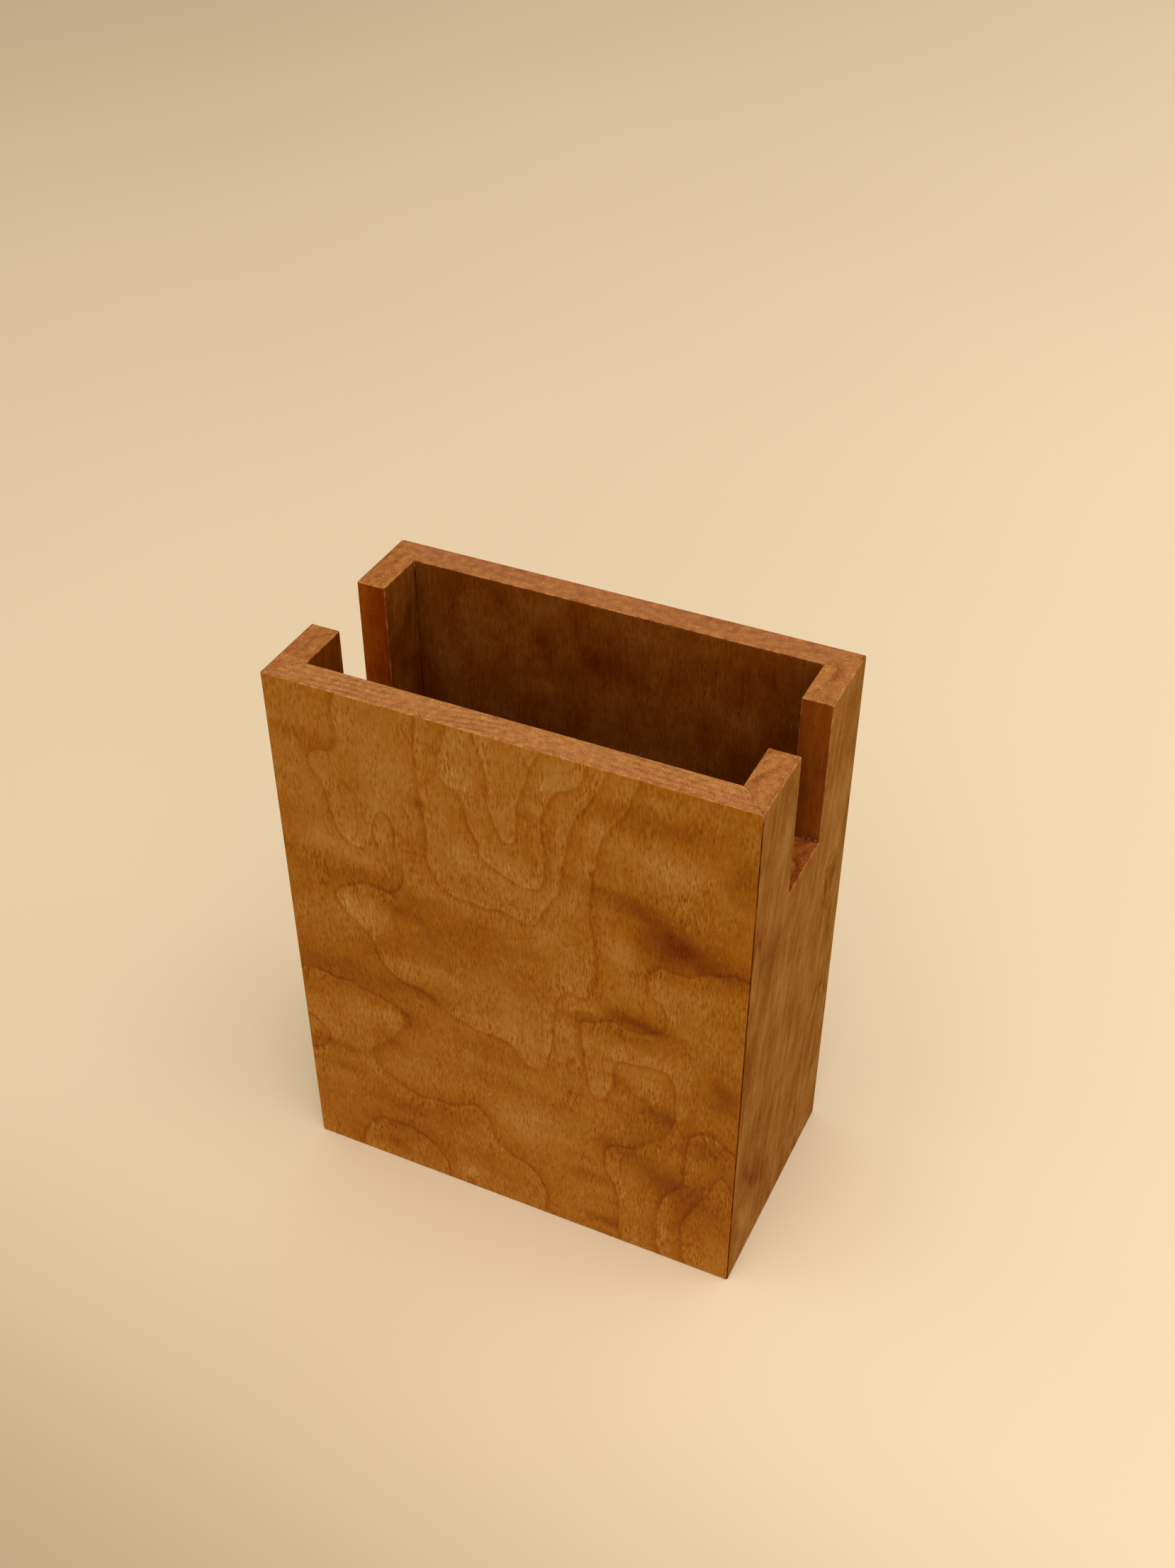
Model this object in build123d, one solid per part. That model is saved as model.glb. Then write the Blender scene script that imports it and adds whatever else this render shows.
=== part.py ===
from build123d import *
import math
import os

# A hardwood pencil box: four upright boards mitred at the corners and glued, an open notch in each
# short wall, and a bottom panel held by its tongue in a groove that runs round the inside.
# Millimetres. The origin is on the table under the middle of the box, +Z is up, +X runs along the
# long walls and the front wall faces -Y.

# Outside of the box
BOX_LENGTH = 100.5
BOX_DEPTH = 53.6
BOX_HEIGHT = 127.0

# The boards
WALL_THICKNESS = 6.35
ARRIS_RADIUS = 0.4  # every edge that a hand can reach is sanded to this round

# The notch in the middle of each short wall
NOTCH_WIDTH = 16.8
NOTCH_DEPTH = 32.0

# The bottom panel and the groove that holds it
PANEL_THICKNESS = 6.35
PANEL_RECESS = 1.6  # from the table up to the underside of the panel
TONGUE_THICKNESS = 3.0
GROOVE_DEPTH = 3.2
TONGUE_SLACK = 0.15  # above the tongue, which lies on the lower side of the groove
PANEL_GAP = 0.25  # all round the panel, for the seasonal movement of the wood

# The cured glue in each mitre
GLUE_THICKNESS = 0.3
GLUE_SETBACK = 0.05  # the glue ends this far inside the surfaces that show it

# Sizes that follow from the ones above
CAVITY_LENGTH = BOX_LENGTH - 2 * WALL_THICKNESS
CAVITY_DEPTH = BOX_DEPTH - 2 * WALL_THICKNESS
NOTCH_FLOOR = BOX_HEIGHT - NOTCH_DEPTH
PANEL_TOP = PANEL_RECESS + PANEL_THICKNESS
GROOVE_FLOOR = PANEL_TOP - TONGUE_THICKNESS
GROOVE_WIDTH = TONGUE_THICKNESS + TONGUE_SLACK


def upright_block(length, depth, bottom, top):
    """A block centred on the box's upright axis, from one height to another."""
    return Pos(0, 0, bottom) * extrude(Rectangle(length, depth), top - bottom)


def blank_walls():
    """The four walls in one ring, with the notches and the groove but with sharp edges."""
    outside = extrude(RectangleRounded(BOX_LENGTH, BOX_DEPTH, ARRIS_RADIUS), BOX_HEIGHT)
    inside = upright_block(CAVITY_LENGTH, CAVITY_DEPTH, 0, BOX_HEIGHT)
    notches = upright_block(BOX_LENGTH, NOTCH_WIDTH, NOTCH_FLOOR, BOX_HEIGHT)
    groove = upright_block(
        CAVITY_LENGTH + 2 * GROOVE_DEPTH,
        CAVITY_DEPTH + 2 * GROOVE_DEPTH,
        GROOVE_FLOOR,
        GROOVE_FLOOR + GROOVE_WIDTH,
    )
    return outside - inside - notches - groove


def sanded_walls():
    """The ring of walls with its rim, its notches and its foot rounded over."""
    ring = blank_walls()
    levels = ring.faces().filter_by(Axis.Z).group_by(Axis.Z)
    rim_and_foot = levels[-1].edges() + levels[0].edges()
    across_notches = ring.edges().filter_by(Axis.Y).filter_by_position(
        Axis.Z, NOTCH_FLOOR - ARRIS_RADIUS, NOTCH_FLOOR + ARRIS_RADIUS
    )
    half_notch = NOTCH_WIDTH / 2 + ARRIS_RADIUS
    up_notches = ring.edges().filter_by(Axis.Z).filter_by_position(Axis.Y, -half_notch, half_notch)
    return fillet(rim_and_foot + across_notches + up_notches, ARRIS_RADIUS)


def mitred_wedge(length, reach, turn):
    """The space of one wall between its two glued mitres, turned to its side of the box.

    It is drawn for the wall that faces -Y. The length is the wall's own along its outer face, and
    the reach is from the upright axis of the box to that face.
    """
    glue_along_face = GLUE_THICKNESS / 2 * math.sqrt(2)
    outer = length / 2 - glue_along_face
    inner = outer - WALL_THICKNESS
    outline = Polyline(
        (-outer, -reach),
        (outer, -reach),
        (inner, WALL_THICKNESS - reach),
        (-inner, WALL_THICKNESS - reach),
        close=True,
    )
    return Rot(0, 0, turn) * extrude(make_face(outline), BOX_HEIGHT)


def glue_sheet(side_x, side_y):
    """The upright sheet of glue in one mitre, drawn back from the surfaces that show it.

    It is drawn in the plane of the mitre, between the sharp inner corner and the rounded outer one.
    """
    outer_loss = ARRIS_RADIUS * (math.sqrt(2) - 1)
    sheet_width = WALL_THICKNESS * math.sqrt(2) - outer_loss - 2 * GLUE_SETBACK
    sheet_height = BOX_HEIGHT - 2 * GLUE_SETBACK
    outline = RectangleRounded(sheet_width, sheet_height, ARRIS_RADIUS)
    upright = Rot(90, 0, 0) * extrude(outline, GLUE_THICKNESS / 2, both=True)
    towards_inside = outer_loss / 2 / math.sqrt(2)
    middle_x = (BOX_LENGTH - WALL_THICKNESS) / 2 - towards_inside
    middle_y = (BOX_DEPTH - WALL_THICKNESS) / 2 - towards_inside
    turned = Rot(0, 0, 45 * side_x * side_y) * upright
    return Pos(side_x * middle_x, side_y * middle_y, BOX_HEIGHT / 2) * turned


def bottom_panel():
    """The floor of the box, with a tongue along all four edges at the height of the groove."""
    body = upright_block(
        CAVITY_LENGTH - 2 * PANEL_GAP,
        CAVITY_DEPTH - 2 * PANEL_GAP,
        PANEL_RECESS,
        PANEL_TOP,
    )
    tongue = upright_block(
        CAVITY_LENGTH + 2 * (GROOVE_DEPTH - PANEL_GAP),
        CAVITY_DEPTH + 2 * (GROOVE_DEPTH - PANEL_GAP),
        GROOVE_FLOOR,
        PANEL_TOP,
    )
    return body + tongue


def build_nodes():
    """Every piece of the box under its name."""
    ring = sanded_walls()
    nodes = {
        "front_panel": ring & mitred_wedge(BOX_LENGTH, BOX_DEPTH / 2, 0),
        "right_panel": ring & mitred_wedge(BOX_DEPTH, BOX_LENGTH / 2, 90),
        "back_panel": ring & mitred_wedge(BOX_LENGTH, BOX_DEPTH / 2, 180),
        "left_panel": ring & mitred_wedge(BOX_DEPTH, BOX_LENGTH / 2, 270),
        "bottom_panel": bottom_panel(),
    }
    for end, side_y in (("front", -1), ("back", 1)):
        for hand, side_x in (("left", -1), ("right", 1)):
            nodes[f"glue_line_{end}_{hand}"] = ring & glue_sheet(side_x, side_y)
    return nodes


os.makedirs("parts", exist_ok=True)
for name, shape in build_nodes().items():
    export_step(shape, f"parts/{name}.step")
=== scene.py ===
import logging
import math
from dataclasses import dataclass
from enum import Enum

import bmesh
import bpy
from mathutils import Matrix, Vector


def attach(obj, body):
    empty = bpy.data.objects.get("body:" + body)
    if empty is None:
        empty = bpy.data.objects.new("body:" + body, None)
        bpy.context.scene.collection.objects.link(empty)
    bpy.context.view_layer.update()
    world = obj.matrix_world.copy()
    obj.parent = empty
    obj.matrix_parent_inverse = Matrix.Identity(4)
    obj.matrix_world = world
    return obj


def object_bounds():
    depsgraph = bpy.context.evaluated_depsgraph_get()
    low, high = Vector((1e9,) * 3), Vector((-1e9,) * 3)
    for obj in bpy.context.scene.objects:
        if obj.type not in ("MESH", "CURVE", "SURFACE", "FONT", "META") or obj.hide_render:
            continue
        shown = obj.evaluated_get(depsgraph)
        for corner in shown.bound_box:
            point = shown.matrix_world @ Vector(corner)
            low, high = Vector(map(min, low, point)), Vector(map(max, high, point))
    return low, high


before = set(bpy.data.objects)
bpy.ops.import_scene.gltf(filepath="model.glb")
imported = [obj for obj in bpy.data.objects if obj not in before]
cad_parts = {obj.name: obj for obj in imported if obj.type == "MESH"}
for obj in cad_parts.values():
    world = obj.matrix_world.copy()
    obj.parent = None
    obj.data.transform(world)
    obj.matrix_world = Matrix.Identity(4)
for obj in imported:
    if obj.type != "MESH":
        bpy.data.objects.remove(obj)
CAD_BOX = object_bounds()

LOG = logging.getLogger("pencil_box")

# Millimetres, where a name doesn't say otherwise
MM = 0.001
BOX_LENGTH, BOX_DEPTH, BOX_HEIGHT = ((high - low) / MM for low, high in zip(*CAD_BOX))
NOTCH_WIDTH = 16.8
NOTCH_FLOOR = 95.0  # up from the table
PORE_DEPTH = 0.1

# Depths below the rim between which the rim's own look ends, and the foot's begins
BELOW_RIM = (4.0, 20.0)
ABOVE_FOOT = (50.0, 90.0)

Socket = bpy.types.NodeSocket
Number = float | Socket
Span = tuple[float, float]
Place = tuple[float, float, float]
Colour = tuple[float, float, float, float]
ColourStops = tuple[tuple[float, tuple[int, int, int]], ...]


def paint(red: int, green: int, blue: int) -> Colour:
    """Turns a colour as a painter reads it off a chart into the light that it gives back.

    Args:
        red: The red of the colour, from 0 to 255.
        green: The green of the colour, from 0 to 255.
        blue: The blue of the colour, from 0 to 255.

    Returns:
        The colour for a shader's socket.
    """
    shares = [part / 255 for part in (red, green, blue)]
    # the standard curve from a screen's colours to light
    light = [s / 12.92 if s <= 0.04045 else ((s + 0.055) / 1.055) ** 2.4 for s in shares]
    return (light[0], light[1], light[2], 1.0)


class NodeBench:
    """Adds nodes to one tree and wires them to each other."""

    def __init__(self, tree: bpy.types.NodeTree) -> None:
        """Keeps the tree that the nodes go into."""
        self.tree = tree

    def add(self, kind: str, **settings: object) -> bpy.types.Node:
        """Adds one node.

        Args:
            kind: Blender's name for the node.
            settings: Values of the node's own options.

        Returns:
            The new node.
        """
        node = self.tree.nodes.new(kind)
        for name, value in settings.items():
            setattr(node, name, value)
        return node

    def feed(self, socket: Socket, value: object) -> None:
        """Wires a socket, or sets it where the value is plain.

        Args:
            socket: The input that takes the value.
            value: Another node's output, a number, a vector or a colour.
        """
        if isinstance(value, Socket):
            self.tree.links.new(value, socket)
        else:
            socket.default_value = value

    def math(self, operation: str, *values: Number) -> Socket:
        """Works out a number from others.

        Args:
            operation: Blender's name for the sum.
            values: The numbers that go in.

        Returns:
            The result's socket.
        """
        node = self.add("ShaderNodeMath", operation=operation)
        for socket, value in zip(node.inputs, values):
            self.feed(socket, value)
        return node.outputs[0]

    def times(self, first: Number, second: Number) -> Socket:
        """Multiplies two numbers."""
        return self.math("MULTIPLY", first, second)

    def around(self, variation: Socket) -> Socket:
        """Shifts a variation from around a half to around 0."""
        return self.math("SUBTRACT", variation, 0.5)

    def total(self, *terms: tuple[Number, float]) -> Socket:
        """Adds several values, each with its weight.

        Args:
            terms: Pairs of a value and its weight.

        Returns:
            The sum's socket.
        """
        result: Number = 0.0
        for value, weight in terms:
            result = self.math("MULTIPLY_ADD", value, weight, result)
        return result

    def remap(
        self, value: Number, low: float, high: float, at_low: float = 0.0, at_high: float = 1.0
    ) -> Socket:
        """Eases from one number to another as a value goes from low to high.

        Args:
            value: The value that is read.
            low: Where the ease starts.
            high: Where the ease ends.
            at_low: The result at the start and before it.
            at_high: The result at the end and past it.

        Returns:
            The result's socket.
        """
        node = self.add("ShaderNodeMapRange", interpolation_type="SMOOTHSTEP")
        for name, part in (
            ("Value", value),
            ("From Min", low),
            ("From Max", high),
            ("To Min", at_low),
            ("To Max", at_high),
        ):
            self.feed(node.inputs[name], part)
        return node.outputs["Result"]

    def vector(self, operation: str, *values: object) -> Socket:
        """Works out a vector, or a number, from vectors.

        Args:
            operation: Blender's name for the sum.
            values: The vectors that go in.

        Returns:
            The result's socket.
        """
        node = self.add("ShaderNodeVectorMath", operation=operation)
        for socket, value in zip(node.inputs, values):
            self.feed(socket, value)
        return node.outputs["Value" if operation in ("LENGTH", "DOT_PRODUCT") else "Vector"]

    def split(self, vector: Socket) -> bpy.types.NodeOutputs:
        """Takes a vector apart.

        Args:
            vector: What is taken apart.

        Returns:
            The numbers along X, Y and Z.
        """
        node = self.add("ShaderNodeSeparateXYZ")
        self.feed(node.inputs[0], vector)
        return node.outputs

    def mapping(
        self,
        vector: Socket,
        location: Place = (0, 0, 0),
        rotation: Place = (0, 0, 0),
        scale: Place = (1, 1, 1),
        kind: str = "POINT",
    ) -> Socket:
        """Moves, turns and scales a vector.

        Args:
            vector: What is mapped.
            location: How far it moves.
            rotation: How far it turns about each axis, in radians.
            scale: How far it is stretched along each axis.
            kind: Blender's name for the way of mapping.

        Returns:
            The mapped vector's socket.
        """
        node = self.add("ShaderNodeMapping", vector_type=kind)
        self.feed(node.inputs["Vector"], vector)
        for name, part in (("Location", location), ("Rotation", rotation), ("Scale", scale)):
            if name in node.inputs:  # a direction is turned and scaled, not moved
                node.inputs[name].default_value = part
        return node.outputs["Vector"]

    def millimetres(self) -> Socket:
        """Gives the place on a piece in the box's own millimetres."""
        source = self.add("ShaderNodeTexCoord")
        return self.mapping(source.outputs["Object"], scale=(1 / MM, 1 / MM, 1 / MM))

    def noise(
        self,
        vector: Socket,
        size: Place,
        detail: float = 2.0,
        roughness: float = 0.5,
        channel: str = "Fac",
    ) -> Socket:
        """Smooth random variation with its own size along each axis.

        Args:
            vector: Where it is read.
            size: The size of its blotches along each axis, in the vector's own unit.
            detail: How many finer layers lie over it.
            roughness: How strong those layers are.
            channel: Fac for a number around a half, Color for three of them.

        Returns:
            The variation's socket.
        """
        place = self.mapping(vector, scale=(1 / size[0], 1 / size[1], 1 / size[2]))
        node = self.add("ShaderNodeTexNoise", noise_dimensions="3D", normalize=True)
        self.feed(node.inputs["Vector"], place)
        node.inputs["Scale"].default_value = 1.0
        node.inputs["Detail"].default_value = detail
        node.inputs["Roughness"].default_value = roughness
        return node.outputs[channel]

    def height(
        self, relief: bpy.types.NodeTree, place: Socket, shift: Place | None = None
    ) -> Socket:
        """Reads the height that a relief's node group gives at a place.

        Args:
            relief: The relief's node group.
            place: The place on the board, in millimetres.
            shift: How far from that place it is read, or None to read it there.

        Returns:
            The height's socket.
        """
        node = self.add("ShaderNodeGroup", node_tree=relief)
        spot = place if shift is None else self.mapping(place, location=shift)
        self.feed(node.inputs["Place"], spot)
        return node.outputs["Height"]

    def ramp(self, value: Number, stops: ColourStops) -> Socket:
        """Turns a tone into a colour.

        Args:
            value: The tone, from 0 to 1.
            stops: Pairs of a tone and the colour that it has.

        Returns:
            The colour's socket.
        """
        node = self.add("ShaderNodeValToRGB")
        elements = node.color_ramp.elements
        while len(elements) < len(stops):
            elements.new(1.0)
        for element, (tone, colour) in zip(elements, stops):
            element.position = tone
            element.color = paint(*colour)
        self.feed(node.inputs["Fac"], value)
        return node.outputs["Color"]

    def mix(self, factor: Number, first: object, second: object, blend: str = "MIX") -> Socket:
        """Mixes two colours.

        Args:
            factor: How much of the second there is.
            first: The colour at 0.
            second: The colour at 1.
            blend: Blender's name for the way of mixing.

        Returns:
            The mixed colour's socket.
        """
        node = self.add("ShaderNodeMix", data_type="RGBA", blend_type=blend, clamp_factor=True)
        self.feed(node.inputs["Factor"], factor)
        # the colour sockets share their names with those for numbers, so they go by their places
        self.feed(node.inputs[6], first)
        self.feed(node.inputs[7], second)
        return node.outputs[2]

    def tint(self, factor: Number, colour: Socket, tint: Colour) -> Socket:
        """Multiplies a tint into a colour, as far as the factor says: the wood's own tones, and
        painted shade.
        """
        return self.mix(factor, colour, tint, blend="MULTIPLY")

    def bump(self, height: Number, strength: float) -> Socket:
        """Raises and sinks a surface in its shading, by the depth of a pore.

        Args:
            height: How high the surface is, from 0 to 1.
            strength: How much of it shows.

        Returns:
            The normal's socket.
        """
        node = self.add("ShaderNodeBump")
        node.inputs["Strength"].default_value = strength
        node.inputs["Distance"].default_value = PORE_DEPTH * MM
        self.feed(node.inputs["Height"], height)
        return node.outputs["Normal"]


def new_material(name: str) -> tuple[bpy.types.Material, NodeBench, bpy.types.Node]:
    """Starts a material with one shader in it.

    Args:
        name: The finish's name.

    Returns:
        The material, a bench for its nodes, and its shader.
    """
    material = bpy.data.materials.new(name)
    material.use_nodes = True
    bench = NodeBench(material.node_tree)
    return material, bench, material.node_tree.nodes["Principled BSDF"]


class Side(Enum):
    """The side of the box that a wall closes, with the turn from the front in degrees."""

    FRONT = 0
    RIGHT = 90
    BACK = 180
    LEFT = 270

    @property
    def length(self) -> float:
        """How long the outer face of the wall is."""
        return BOX_LENGTH if self in (Side.FRONT, Side.BACK) else BOX_DEPTH

    @property
    def reach(self) -> float:
        """How far the outer face is from the upright axis of the box."""
        return (BOX_DEPTH if self in (Side.FRONT, Side.BACK) else BOX_LENGTH) / 2


@dataclass(frozen=True)
class Swirl:
    """One hill or hollow in the growth layers of a board, or one light or dark patch on it.

    It is placed on the board's outer face, from its left end and down from the rim. Its lift is in
    years for growth layers, and a share of the tone for a patch. Its turn is in degrees.
    """

    across: float
    down: float
    half_width: float
    half_height: float
    lift: float
    turn: float = 0.0

    def spread(self, bench: NodeBench, flat: Socket) -> Socket:
        """Measures a place from the swirl's middle, in its own half widths.

        Args:
            bench: The bench of the tree.
            flat: The place on the board's face.

        Returns:
            The measured place's socket.
        """
        if self.turn:
            return bench.mapping(
                flat,
                location=(self.across, 0, self.down),
                rotation=(0, math.radians(self.turn), 0),
                scale=(self.half_width, 1, self.half_height),
                kind="TEXTURE",
            )
        shrink = (1 / self.half_width, 0, 1 / self.half_height)
        middle = (-self.across / self.half_width, 0, -self.down / self.half_height)
        return bench.vector("MULTIPLY_ADD", flat, shrink, middle)


@dataclass(frozen=True)
class Relief:
    """A smooth surface over a board: a level plus swirls, ruffled by the grain in waves.

    A step inwards is how far the surface rises with each millimetre into the board.
    """

    name: str
    level: float
    swirls: tuple[Swirl, ...]
    ruffle: Place
    wave: Place
    step_inwards: float = 0.0

    def build(self) -> bpy.types.NodeTree:
        """Makes the node group that gives the surface's height at a place on the board.

        Returns:
            The group, from the place in millimetres to the height.
        """
        tree = bpy.data.node_groups.new(self.name, "ShaderNodeTree")
        tree.interface.new_socket("Place", in_out="INPUT", socket_type="NodeSocketVector")
        tree.interface.new_socket("Height", in_out="OUTPUT", socket_type="NodeSocketFloat")
        bench = NodeBench(tree)
        place = bench.add("NodeGroupInput").outputs["Place"]
        wander = bench.noise(place, self.wave, channel="Color")
        wander = bench.vector("SUBTRACT", wander, (0.5, 0.5, 0.5))
        moved = bench.vector("MULTIPLY_ADD", wander, self.ruffle, place)
        flat = bench.vector("MULTIPLY", moved, (1, 0, 1))
        height = bench.math("MULTIPLY_ADD", bench.split(moved)["Y"], self.step_inwards, self.level)
        for swirl in self.swirls:
            spot = swirl.spread(bench, flat)
            fade = bench.math("POWER", math.exp(-1), bench.vector("DOT_PRODUCT", spot, spot))
            height = bench.math("MULTIPLY_ADD", fade, swirl.lift, height)
        bench.feed(bench.add("NodeGroupOutput").inputs["Height"], height)
        return tree


@dataclass(frozen=True)
class BoardGrain:
    """What a board's finish reads at a place: where it is, which way it faces and its grain."""

    place: Socket
    facing: Socket
    where: bpy.types.NodeOutputs
    turned: bpy.types.NodeOutputs
    end: Socket
    cheek: Socket
    inside: Socket
    mottle: Socket
    curl: Socket
    blotch: Socket
    fleck: Socket
    strand: Socket
    ribbon: Socket
    speck: Socket
    thicket: Socket
    fade: Socket


@dataclass(frozen=True)
class GrainSizes:
    """The size of each kind of grain, across, inwards and down."""

    mottle: Place = (6.0, 6.0, 9.0)
    curl: Place = (12.0, 12.0, 3.0)
    blotch: Place = (1.6, 1.6, 2.4)
    fleck: Place = (0.38, 0.38, 1.7)
    speck: Place = (0.3, 0.3, 0.6)
    thicket: Place = (4.0, 4.0, 7.0)
    fade: Place = (9.0, 9.0, 12.0)


@dataclass(frozen=True)
class GrowthMarks:
    """What the growth layers leave on a face: lines, early and late wood, and a slope."""

    line: Socket
    half_line: Socket
    early: Socket
    late: Socket
    rise: Socket


@dataclass(frozen=True)
class MarkWidths:
    """How wide the marks of a growth layer are, square to the line where a year ends."""

    behind_line: float = 1.1
    past_line: float = 0.55
    half_line: float = 0.6
    fray: float = 0.5
    step: float = 0.3
    early_wood: float = 6.0
    late_wood: float = 5.0


@dataclass(frozen=True)
class TintsAndPaintedShade:
    """Tints that multiply the wood's colour: its own warm and pink tones, a darker notch floor,
    and painted shade in the corners of the notch floor, inside the box and on the cheeks of the
    notches; and where the last of them begin and end.

    The spans are down from the rim for the painted shade low inside the box, and inwards for the
    painted shade on the cheeks of the notches.
    """

    warm: Colour = (1.02, 0.92, 0.75, 1.0)
    pink_end: Colour = (0.96, 0.87, 1.0, 1.0)
    notch_floor: Colour = (0.7, 0.48, 0.3, 1.0)
    # painted shade along the corners where the notch floor meets its cheeks, and how wide it is
    notch_corner_shade: Colour = (0.5, 0.4, 0.4, 1.0)
    corner_shade_width: float = 0.8
    # painted shade inside the box, darker again low inside it
    inside: Colour = (0.5, 0.34, 0.26, 1.0)
    lower_inside_shade: Colour = (0.8, 0.7, 0.6, 1.0)
    low_shade_span: Span = (10.0, 60.0)
    # painted shade on the cheeks of the notches, darker again inwards
    cheek: Colour = (0.76, 0.44, 0.2, 1.0)
    inner_cheek_shade: Colour = (0.8, 0.66, 0.5, 1.0)
    inner_shade_span: Span = (1.0, 6.0)


@dataclass(frozen=True)
class FiguredHardwood:
    """The oiled and figured hardwood of one wall: growth lines, smoky patches, end grain.

    A board's nodes nearly fill what the renderer can hold for one material. They are made in an
    order that fits, and in another order the front board can turn black.
    """

    name: str
    side: Side
    growth: Relief
    tone: Relief
    rings: Relief
    seed: float
    blush: float
    ring_depth: float
    sawn_tone: float
    sheen: float = 0.0
    lean: float = 0.0
    gloss: float = 0.05
    probe: float = 0.6
    flattest: float = 0.06
    pore_span: Span = (0.52, 0.7)
    sizes: GrainSizes = GrainSizes()
    widths: MarkWidths = MarkWidths()
    tints_and_shade: TintsAndPaintedShade = TintsAndPaintedShade()
    # the paler colour of the edges: sanded wood, and a painted highlight
    bare_and_lit_edge: tuple[int, int, int] = (204, 144, 92)
    face_colours: ColourStops = (
        (0.0, (96, 38, 0)),
        (0.25, (123, 62, 4)),
        (0.5, (150, 89, 12)),
        (0.62, (161, 104, 34)),
        (0.78, (172, 119, 54)),
        (1.0, (206, 159, 104)),
    )
    end_colours: ColourStops = (
        (0.0, (116, 62, 24)),
        (0.3, (148, 92, 42)),
        (0.55, (172, 114, 56)),
        (0.8, (190, 134, 70)),
        (1.0, (236, 190, 132)),
    )

    @property
    def strand_size(self) -> Place:
        """The size of a strand, which is longer on a board with sheen."""
        return (0.7, 0.7, 6.0 + 10.0 * self.sheen)

    @property
    def ribbon_size(self) -> Place:
        """The size of a ribbon of strands, which is longer on a board with sheen."""
        return (2.4, 2.4, 10.0 + 16.0 * self.sheen)

    def build(self) -> bpy.types.Material:
        """Makes the material.

        Returns:
            The material for the wall.
        """
        material, bench, shader = new_material(self.name)
        grain = self.read_grain(bench)
        colour = bench.mix(grain.end, self.face(bench, grain), self.end_grain(bench, grain))
        # painted shade inside the box and on the cheeks of the notches
        colour = self.paint_inside_shade(bench, grain, colour)
        # paler edges: partly sanded wood, partly a painted highlight
        colour = bench.mix(self.arris(bench, grain), colour, paint(*self.bare_and_lit_edge))
        bench.feed(shader.inputs["Base Color"], colour)
        pores = bench.remap(grain.fleck, *self.pore_span)
        rough = bench.total((0.5, 1.0), (bench.around(grain.mottle), 0.2), (pores, 0.1))
        bench.feed(shader.inputs["Roughness"], rough)
        shader.inputs["Specular IOR Level"].default_value = self.gloss
        height = bench.total((bench.around(grain.fleck), -1.0), (bench.around(grain.strand), 0.5))
        bench.feed(shader.inputs["Normal"], bench.bump(height, 0.2))
        return material

    def read_grain(self, bench: NodeBench) -> BoardGrain:
        """Lays the board's own millimetres over it, across, inwards and down, and its grain.

        Args:
            bench: The bench of the material.

        Returns:
            What the rest of the finish reads.
        """
        source = bench.add("ShaderNodeTexCoord")
        back_turn = (0, 0, -math.radians(self.side.value))
        place = bench.mapping(
            source.outputs["Object"],
            location=(self.side.length / 2, self.side.reach, BOX_HEIGHT),
            rotation=back_turn,
            scale=(1 / MM, 1 / MM, -1 / MM),
        )
        facing = bench.mapping(
            source.outputs["Normal"], rotation=back_turn, scale=(1, 1, -1), kind="VECTOR"
        )
        turned = bench.split(facing)
        # each board is cut from another part of the wood
        upright = bench.mapping(place, location=(self.seed * 31, self.seed * 17, self.seed * 53))
        leaning = bench.mapping(upright, rotation=(0, math.radians(self.lean), 0))
        sizes = self.sizes
        return BoardGrain(
            place=place,
            facing=facing,
            where=bench.split(place),
            turned=turned,
            end=bench.remap(bench.math("ABSOLUTE", turned["Z"]), 0.55, 0.95),
            cheek=bench.remap(bench.math("ABSOLUTE", turned["X"]), 0.55, 0.95),
            inside=bench.remap(turned["Y"], 0.5, 0.9),
            mottle=bench.noise(upright, sizes.mottle, detail=3.0, roughness=0.55),
            curl=bench.noise(upright, sizes.curl, roughness=0.45),
            blotch=bench.noise(upright, sizes.blotch),
            fleck=bench.noise(upright, sizes.fleck, detail=1.0, roughness=0.6),
            strand=bench.noise(leaning, self.strand_size, roughness=0.6),
            ribbon=bench.noise(leaning, self.ribbon_size),
            speck=bench.noise(upright, sizes.speck, detail=1.0),
            thicket=bench.remap(bench.noise(upright, sizes.thicket), 0.38, 0.62, 0.45, 1.0),
            fade=bench.remap(bench.noise(upright, sizes.fade, detail=1.0), 0.36, 0.62),
        )

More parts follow.
